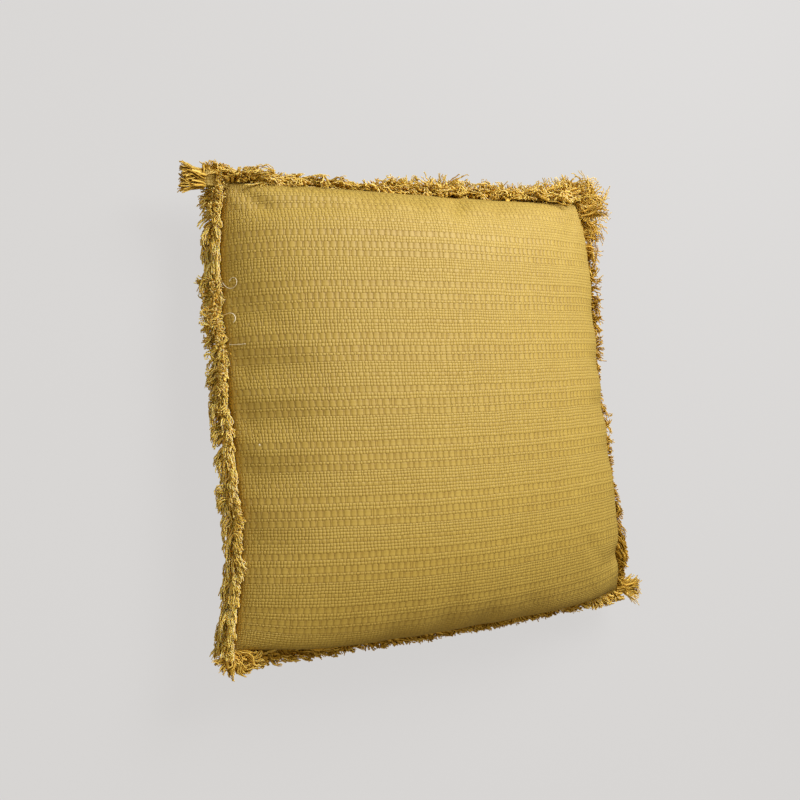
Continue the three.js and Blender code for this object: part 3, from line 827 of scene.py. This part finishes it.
def tuft_wisps(rng, tuft):
    """The wisps of a tuft at a corner, in a fan."""
    way = tuft.way + tuft.spread * rng.uniform(-1, 1, tuft.wisps)
    out = np.stack([np.cos(way), np.sin(way), 0 * way], 1)
    level = np.cross(UP, out)
    beside, height = rng.uniform(-0.5, 0.5, (2, tuft.wisps, 1)) * np.array([TUFT_WIDTH, 4.4])[:, None, None]
    return Wisps(
        root=CORNERS[tuft.corner] + out * (GAP + 1.5) + level * beside + height * UP,
        out=out,
        level=level,
        length=tuft.length * rng.uniform(0.75, 1.1, tuft.wisps),
        reach=np.full(tuft.wisps, 0.85 * tuft.length),
        swing=tuft.swing + rng.normal(0, 0.15, tuft.wisps),
        slope=tuft.rise + rng.normal(0, 0.15, tuft.wisps),
        roll=np.zeros(tuft.wisps),
        curl=np.full(tuft.wisps, tuft.curl),
        lock=np.arange(tuft.wisps) // 4)


def wander(rng, count):
    """Random swings of a yarn's way, as a function of its run from 0 at the root to 1 at the tip."""
    first, second = rng.uniform(0, 2 * np.pi, (2, count))
    slow, quick = rng.normal(0, 1, (2, count))

    def swing(run):
        return slow * (np.sin(2.4 * run + first) - np.sin(first)) + quick * (
            np.sin(6.5 * run + second) - np.sin(second)) / 2

    return swing


def shared_wander(rng, lock, curl):
    """Random swings of wisps: those of their lock and, where the yarn is curly, more of their own."""
    own, shared = wander(rng, len(lock)), wander(rng, lock.max() + 1)

    def swing(run):
        """run has a value for each wisp, and the wisps of a lock are about as long as each other"""
        lock_run = np.bincount(lock, run, minlength=lock.max() + 1) / np.maximum(1, np.bincount(lock))
        return curl * (shared(lock_run)[lock] + OWN_WANDER * curl * own(run))

    return swing


def cores(wisps, count):
    """Shorter and steadier wisps for the depth of the locks, picked evenly from the given ones."""
    picked = Wisps(*(value[np.linspace(0, len(wisps.length) - 1, count).astype(int)] for value in wisps))
    return picked._replace(
        length=picked.length * CORE_LENGTH, reach=picked.reach * CORE_LENGTH, curl=0.3 * picked.curl)


def grow(rng, wisps):
    """The middle lines of the strands of all wisps. Each strand has as many points as its length needs."""
    count = len(wisps.length)
    stray = rng.normal(0, WISP_STRAY, (2, count))
    depth = LAYER_THICKNESS * rng.uniform(-0.5, 0.5, count)
    crimp_start = rng.uniform(0, 2 * np.pi, (2, count))
    turn_wander, rise_wander = [shared_wander(rng, wisps.lock, wisps.curl) for _ in range(2)]

    wisp = np.repeat(np.arange(count), STRANDS_PER_WISP)
    strands = len(wisp)
    length = wisps.length[wisp] * rng.uniform(0.85, 1.05, strands)
    splay = rng.normal(0, STRAND_SPLAY, strands) * (0.5 + 1.8 * wisps.curl[wisp])
    strays = rng.uniform(0, 1, strands) < STRAY_STRANDS
    limit = wisps.reach[wisp] * (1 + RAGGEDNESS * rng.uniform(-1, 1, strands) + 0.3 * strays)
    crimp_wave = CRIMP_WAVE * rng.uniform(0.92, 1.1, strands)
    crimp_depth = CRIMP_DEPTH * rng.uniform(0.5, 1.4, strands) * (0.5 + 2 * wisps.curl[wisp] ** 2)
    crimp_start = crimp_start[:, wisp] + rng.uniform(-0.7, 0.7, (2, strands))
    angle = rng.uniform(0, 2 * np.pi, strands)
    off = WISP_RADIUS * np.sqrt(rng.uniform(0, 1, strands))
    root, out, level = wisps.root[wisp], wisps.out[wisp], wisps.level[wisp]
    swing, slope = wisps.swing[wisp], (wisps.slope + stray[1])[wisp]
    roll = np.maximum(0.01, wisps.roll[wisp] * (1 - 0.6 * strays))
    outward, along = np.zeros(strands), np.zeros(strands)
    steps = int(np.ceil(length.max() / STRAND_STEP))
    points = np.zeros((strands, steps + 1, 3))
    for i in range(steps + 1):
        run = np.minimum(1, i * STRAND_STEP / length)
        turn = swing * (SWING_START + (SWING_END - SWING_START) * run) + splay * run
        turn = turn + stray[0][wisp] + turn_wander(run[::STRANDS_PER_WISP])[wisp]
        if i > 0:
            outward = outward + np.cos(turn) * STRAND_STEP
            along = along + np.sin(turn) * STRAND_STEP

        # The fringe is pressed together at its reach, and rolls over on a round path
        held = -2.5 * np.logaddexp(-outward / 2.5, -limit / 2.5)
        lift = slope + roll * held / limit
        beyond = limit / roll * (np.sin(lift) - np.sin(slope))
        above = limit / roll * (np.cos(slope) - np.cos(lift))
        turn, lift = turn[:, None], lift[:, None]
        forward = out * np.cos(lift) + UP * np.sin(lift)
        sideways = level * np.cos(turn) - forward * np.sin(turn)
        across = UP * np.cos(lift) - out * np.sin(lift)
        phase = 2 * np.pi * i * STRAND_STEP / crimp_wave
        ease = np.minimum(1, i * STRAND_STEP / 6)
        aside = off * np.cos(angle) + ease * crimp_depth * np.sin(phase + crimp_start[0])
        height = off * np.sin(angle) + ease * crimp_depth * np.sin(phase + crimp_start[1])
        height = height + ease * (depth + 2.5 * rise_wander(run[::STRANDS_PER_WISP]))[wisp]
        middle = root + out * beyond[:, None] + UP * above[:, None] + level * along[:, None]
        points[:, i] = middle + sideways * aside[:, None] + across * height[:, None]
    last = np.maximum(3, np.rint(length / STRAND_STEP)).astype(int)
    return [path[:end + 1] for path, end in zip(points, last)]


def strands_mesh(name, paths, radii, profile):
    """Thin tubes along the paths, joined into one mesh."""
    curve = bpy.data.curves.new(name, "CURVE")
    curve.dimensions = "3D"
    curve.bevel_mode = "OBJECT"
    curve.bevel_object = profile
    curve.use_fill_caps = True
    rng = np.random.default_rng(11)
    for path, radius in zip(paths, radii):
        spline = curve.splines.new("POLY")
        spline.points.add(len(path) - 1)
        spline.points.foreach_set("co", np.concatenate([to_frame(path), np.ones((len(path), 1))], 1).ravel())
        taper = np.linspace(1.0, 0.85, len(path)) * radius * rng.uniform(0.8, 1.3)
        spline.points.foreach_set("radius", taper)
    source = bpy.data.objects.new(name, curve)
    bpy.context.scene.collection.objects.link(source)
    bpy.context.view_layer.update()
    mesh = bpy.data.meshes.new_from_object(source.evaluated_get(bpy.context.evaluated_depsgraph_get()))
    mesh.name = name
    bpy.data.objects.remove(source)
    bpy.data.curves.remove(curve)
    mesh.polygons.foreach_set("use_smooth", np.ones(len(mesh.polygons), bool))
    return mesh


def make_strand_profile():
    """The three-sided section of a strand, one millimetre in radius."""
    curve = bpy.data.curves.new("strand_section", "CURVE")
    curve.dimensions = "2D"
    spline = curve.splines.new("POLY")
    spline.points.add(2)
    for i, point in enumerate(spline.points):
        angle = 2 * math.pi * i / 3
        point.co = (MM * math.cos(angle), MM * math.sin(angle), 0, 1)
    spline.use_cyclic_u = True
    profile = bpy.data.objects.new("strand_section", curve)
    bpy.context.scene.collection.objects.link(profile)
    return profile


def make_sheets(name, material, length, width, place):
    """Two layers of cloth. place gives their points from shares of the length and the width and the layer."""
    columns, lines = max(2, round(length / 3)), max(2, round(width / 1.8))
    bm = bmesh.new()
    woven = bm.loops.layers.uv.new("weave")
    for layer in (1, -1):
        made = bmesh.ops.create_grid(bm, x_segments=columns, y_segments=lines, size=1)
        along = np.array([(vertex.co.x + 1) / 2 for vertex in made["verts"]])
        across = np.array([(vertex.co.y + 1) / 2 for vertex in made["verts"]])
        faces = list({face for vertex in made["verts"] for face in vertex.link_faces})
        for face in faces:
            for loop in face.loops:
                u = (loop.vert.co.x + 1) / 2 * length / CELL_PITCH / (2 * CELLS)
                v = (PLAIN_ROW + (loop.vert.co.y + 1) / 2 * width / PLAIN_HEIGHT) / MAP_ROWS
                loop[woven].uv = (u, v)
        for vertex, point in zip(made["verts"], to_frame(place(along, across, layer))):
            vertex.co = point
        bmesh.ops.recalc_face_normals(bm, faces=faces)
        bmesh.ops.solidify(bm, geom=faces, thickness=STRIP_CLOTH * MM)
    bmesh.ops.recalc_face_normals(bm, faces=bm.faces)
    mesh = bpy.data.meshes.new(name)
    bm.to_mesh(mesh)
    bm.free()
    mesh.polygons.foreach_set("use_smooth", np.ones(len(mesh.polygons), bool))
    mesh.materials.append(material)
    sheets = bpy.data.objects.new(name, mesh)
    bpy.context.scene.collection.objects.link(sheets)
    return sheets


def make_unfrayed_edges(material):
    """The cloth between the seam and the fringe of each side, and the corner that hasn't frayed."""
    edges = []
    for side_name, side in SIDES.items():
        def strip_place(along, across, layer, side_name=side_name):
            return strip_point(side_name, along, across * STRIP_WIDTH, layer * (0.75 + 0.35 * across))

        side_length = np.linalg.norm(CORNERS[side.end] - CORNERS[side.start])
        edges.append(make_sheets(f"unfrayed_edge_{side_name}", material, side_length, STRIP_WIDTH, strip_place))

    def tab_place(along, across, layer):
        out = -TAB_BELOW + along * (TAB_LENGTH + TAB_BELOW)
        up = -TAB_BELOW + across * (TAB_ABOVE + TAB_BELOW)
        return tab_point(out, up) + (layer * 0.8) * UP

    edges.append(make_sheets("unfrayed_corner", material, TAB_LENGTH + TAB_BELOW, TAB_ABOVE + TAB_BELOW, tab_place))
    return edges


def make_fringes():
    profile = make_strand_profile()
    fringes = []
    for number, place in enumerate([*SIDES, "corners"]):
        rng = np.random.default_rng(50 + number)
        if place == "corners":
            parts = [tab_wisps(rng, "end", 36), tab_wisps(rng, "top", 24)]
            parts += [tuft_wisps(rng, tuft) for tuft in TUFTS]
            thick = [cores(wisps, len(wisps.length) // 2) for wisps in parts]
        else:
            parts = side_wisps(rng, place, 1), side_wisps(rng, place, -1)
            thick = [cores(wisps, CORES_PER_LOCK * LOCKS_PER_LAYER) for wisps in parts]
        paths = [path for wisps in parts for path in grow(rng, wisps)]
        radii = [STRAND_RADIUS] * len(paths)
        paths += [path[::2] for wisps in thick for path in grow(rng, wisps)[::STRANDS_PER_WISP]]
        radii += [CORE_RADIUS] * (len(paths) - len(radii))
        name = f"frayed_yarn_{place}"
        mesh = strands_mesh(name, paths, radii, profile)
        mesh.materials.clear()
        # each part gets its own copy of the yarn, with its own painted light or shade
        mesh.materials.append(yarn_material(f"frayed_cotton_yarn_{place}", YARN_LOOKS[place]))
        fringe = bpy.data.objects.new(name, mesh)
        bpy.context.scene.collection.objects.link(fringe)
        fringes.append(fringe)
    bpy.data.curves.remove(profile.data)
    return fringes


def make_threads():
    """Loose ends of undyed sewing cotton, each curling up towards its end."""
    profile = make_strand_profile()
    paths = []
    for thread in THREADS:
        start, right, up = [face_point(np.array(thread.s + ds), np.array(thread.t + dt))
                            for ds, dt in ((0, 0), (0.06, 0), (0, 0.06))]
        right, up = unit(right - start), unit(up - start)
        run = np.linspace(0, 1, 33)
        turn = thread.way + thread.bend * run ** 2
        step = thread.length / len(run)
        beside, above = np.cumsum(np.cos(turn)) * step, np.cumsum(np.sin(turn)) * step
        path = start + beside[:, None] * right + above[:, None] * up + (1 + 1.5 * run)[:, None] * np.cross(right, up)
        paths.append(path)
    mesh = strands_mesh("loose_threads", paths, [THREAD_RADIUS] * len(paths), profile)
    bpy.data.curves.remove(profile.data)
    material = bpy.data.materials.new("undyed_cotton_thread")
    material.use_nodes = True
    shader = material.node_tree.nodes["Principled BSDF"]
    shader.inputs["Base Color"].default_value = linear("#eadfba")
    shader.inputs["Roughness"].default_value = 0.8
    mesh.materials.clear()
    mesh.materials.append(material)
    threads = bpy.data.objects.new("loose_threads", mesh)
    bpy.context.scene.collection.objects.link(threads)
    return threads


def make_stage():
    bm = bmesh.new()
    bmesh.ops.create_grid(bm, x_segments=1, y_segments=1, size=6)
    mesh = bpy.data.meshes.new("floor")
    bm.to_mesh(mesh)
    bm.free()
    floor = bpy.data.objects.new("floor", mesh)
    bpy.context.scene.collection.objects.link(floor)
    material = bpy.data.materials.new("pale_paper")
    material.use_nodes = True
    shader = material.node_tree.nodes["Principled BSDF"]
    shader.inputs["Base Color"].default_value = (0.05, 0.05, 0.043, 1)
    shader.inputs["Emission Color"].default_value = linear("#dbd9d8")
    shader.inputs["Emission Strength"].default_value = 0.88
    shader.inputs["Roughness"].default_value = 0.9
    shader.inputs["Specular IOR Level"].default_value = 0.1
    mesh.materials.append(material)
    floor.visible_diffuse = False
    floor.visible_glossy = False


def make_light(name, place, size, power, colour):
    light = bpy.data.lights.new(name, "AREA")
    light.shape = "SQUARE"
    light.size = size
    light.energy = power
    light.color = linear(colour)[:3]
    lamp = bpy.data.objects.new(name, light)
    lamp.location = SEAM_MIDDLE + Vector(place)
    lamp.rotation_mode = "QUATERNION"
    lamp.rotation_quaternion = Vector(place).to_track_quat("Z", "Y")
    bpy.context.scene.collection.objects.link(lamp)


def make_camera():
    camera = bpy.data.objects.new("camera", bpy.data.cameras.new("camera"))
    camera.data.lens = LENS
    camera.data.sensor_width = SENSOR
    way = Vector(CAMERA_WAY).normalized()
    right = way.cross(Vector(CAMERA_UP)).normalized()
    turned = Matrix((right, right.cross(way), -way)).transposed().to_4x4()
    camera.matrix_world = Matrix.Translation(SEAM_MIDDLE + Vector(CAMERA_PLACE) * MM) @ turned
    bpy.context.scene.collection.objects.link(camera)
    bpy.context.scene.camera = camera


make_camera()
make_stage()
make_light("key", (0.63, 0.95, 1.2), 1.0, 52.5, "#edeeff")
make_light("fill", (-1.5, 0.1, 1.0), 1.4, 9, "#fff2d8")
make_light("bounce", (0.3, -1.3, 0.7), 1.6, 4.7, "#ffeccb")
world = bpy.data.worlds.new("studio")
world.use_nodes = True
world.node_tree.nodes["Background"].inputs[0].default_value = linear("#ffecc4")
world.node_tree.nodes["Background"].inputs[1].default_value = 0.17
bpy.context.scene.world = world
bpy.context.scene.view_settings.view_transform = "Standard"

cushion = make_cushion()
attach(cushion, "root")
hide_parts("cushion")

for edge in make_unfrayed_edges(cushion.data.materials[0]):
    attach(edge, "root")

for fringe in make_fringes():
    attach(fringe, "root")
    if "corner" not in fringe.name:
        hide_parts(fringe.name.replace("frayed_yarn", "fringe"))

threads = make_threads()
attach(threads, "root")
